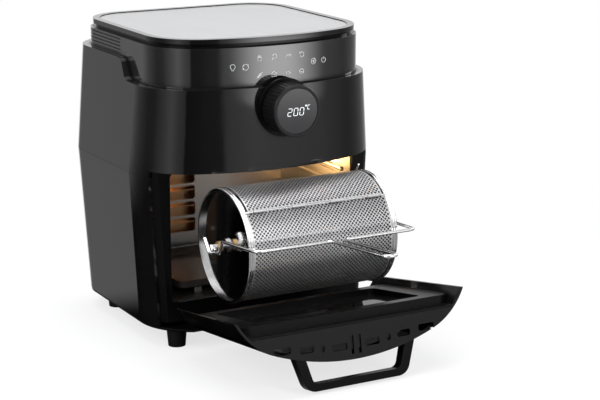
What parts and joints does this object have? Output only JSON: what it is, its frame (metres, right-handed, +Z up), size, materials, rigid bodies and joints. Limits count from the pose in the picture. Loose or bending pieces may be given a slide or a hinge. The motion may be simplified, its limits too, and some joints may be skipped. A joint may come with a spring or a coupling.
{
  "type": "rotisserie oven",
  "caption": "Counter-top hot-air rotisserie oven with a drop-down glazed door, display knob, drip tray, perforated rotating drum with hatch, and a wire fetch tool.",
  "frame": {"origin": "on the surface the feet stand on, under the middle of the whole footprint with the door open and the wire tool out; the oven's own plan centre lies 134.5 mm behind it", "axes": "+Z up, the front faces -Y, +X to the right seen from the front"},
  "size_m": [0.328, 0.571, 0.39],
  "materials": {
    "black_shell": "satin-gloss moulded housing",
    "satin_black": "satin",
    "display_glass": "gloss, dark display window",
    "brushed_top": "brushed",
    "cavity_steel": "satin sheet",
    "heater_sheath": "heat-darkened sheath",
    "motor_steel": "zinc",
    "tray_coat": "non-stick coat",
    "polished_steel": "mirror polish",
    "mesh_steel": "perforated sheet",
    "bush_bronze": "sintered",
    "rubber": "matte",
    "dark_glass": "tinted",
    "lamp_glass": "clear",
    "socket_ceramic": "ceramic",
    "board_green": "laminate"
  },
  "bodies": {
    "oven_body": {"base_plate": "satin_black", "cavity_back_wall": "cavity_steel", "cavity_floor": "cavity_steel", "cavity_left_wall": "cavity_steel", "cavity_right_wall": "cavity_steel", "cavity_roof": "cavity_steel", "control_board": "board_green", "drive_motor": "motor_steel", "drive_motor_plate": "cavity_steel", "drum_rest_left": "cavity_steel", "fan_motor": "motor_steel", "front_frame": "black_shell", "heater_guard": "cavity_steel", "heating_element": "heater_sheath", "hinge_bracket_left": "cavity_steel", "hinge_bracket_right": "cavity_steel", "knob_base": "black_shell", "knob_display": "display_glass", "knob_encoder": "board_green", "lamp_bulb": "lamp_glass", "lamp_lens": "lamp_glass", "lamp_socket": "socket_ceramic", "lid_rim": "satin_black", "lower_housing": "black_shell", "rear_air_duct": "cavity_steel", "rubber_feet": "rubber", "sill_strip": "cavity_steel", "top_plate": "brushed_top", "touch_band": "satin_black", "upper_housing": "black_shell"},
    "door": {"door_handle": "black_shell", "door_hinge_arm_left": "cavity_steel", "door_hinge_arm_right": "cavity_steel", "door_inner_frame": "satin_black", "door_inner_glass": "dark_glass", "door_outer_glass": "dark_glass", "door_outer_shell": "black_shell"},
    "drip_tray": {"drip_tray": "tray_coat"},
    "knob": {"knob_ring": "satin_black"},
    "fan": {"hot_air_fan": "cavity_steel"},
    "drive_spindle": {"drive_fork": "cavity_steel"},
    "drum_bush": {"shaft_bush": "bush_bronze"},
    "drum": {"drum_mesh": "mesh_steel", "drum_cap_left": "polished_steel", "drum_cap_right": "polished_steel", "drum_shaft": "polished_steel", "drum_hinge_wire": "polished_steel", "drum_latch_rivet": "polished_steel"},
    "drum_hatch": {"drum_hatch": "mesh_steel"},
    "drum_latch": {"drum_latch": "polished_steel"},
    "fetch_tool": {"fetch_tool": "polished_steel"}
  },
  "joints": [
    {"name": "door_hinge", "type": "hinge", "parent": "oven_body", "child": "door", "pos_m": [0, -0.0092, 0.0214], "axis": [-1, 0, 0], "range_deg": [0, 80]},
    {"name": "drum_slide", "type": "slide", "parent": "oven_body", "child": "drum_bush", "axis": [0, 1, 0], "range_m": [0, 0.186]},
    {"name": "drum_spin", "type": "hinge", "parent": "drum_bush", "child": "drum", "pos_m": [0, -0.0635, 0.149], "axis": [-1, 0, 0], "continuous": true},
    {"name": "drive_spin", "type": "hinge", "parent": "oven_body", "child": "drive_spindle", "pos_m": [0.13, 0.1225, 0.149], "axis": [-1, 0, 0], "continuous": true},
    {"name": "drum_hatch_hinge", "type": "hinge", "parent": "drum", "child": "drum_hatch", "pos_m": [0, -0.11282, 0.20007], "axis": [-1, 0, 0], "range_deg": [-85, 0]},
    {"name": "drum_latch_turn", "type": "hinge", "parent": "drum", "child": "drum_latch", "pos_m": [0.1034, -0.0205, 0.19], "axis": [1, 0, 0], "range_deg": [0, 25]},
    {"name": "tool_slide", "type": "slide", "parent": "oven_body", "child": "fetch_tool", "axis": [0, -0.9806, 0.1961], "range_m": [0, 0.459]},
    {"name": "knob_turn", "type": "hinge", "parent": "oven_body", "child": "knob", "pos_m": [0, -0.0455, 0.304], "axis": [0, -1, 0], "continuous": true},
    {"name": "fan_spin", "type": "hinge", "parent": "oven_body", "child": "fan", "pos_m": [0, 0.1255, 0.256], "axis": [0, 0, 1], "continuous": true},
    {"name": "tray_slide", "type": "slide", "parent": "oven_body", "child": "drip_tray", "axis": [0, 1, 0], "range_m": [-0.11, 0]}
  ],
  "couplings": [
    {"joint": "drum_slide", "follows": "door_hinge", "m_per_rad": 0.13321},
    {"joint": "tool_slide", "follows": "door_hinge", "m_per_rad": 0.32873},
    {"joint": "drive_spin", "follows": "drum_spin", "ratio": 1}
  ]
}
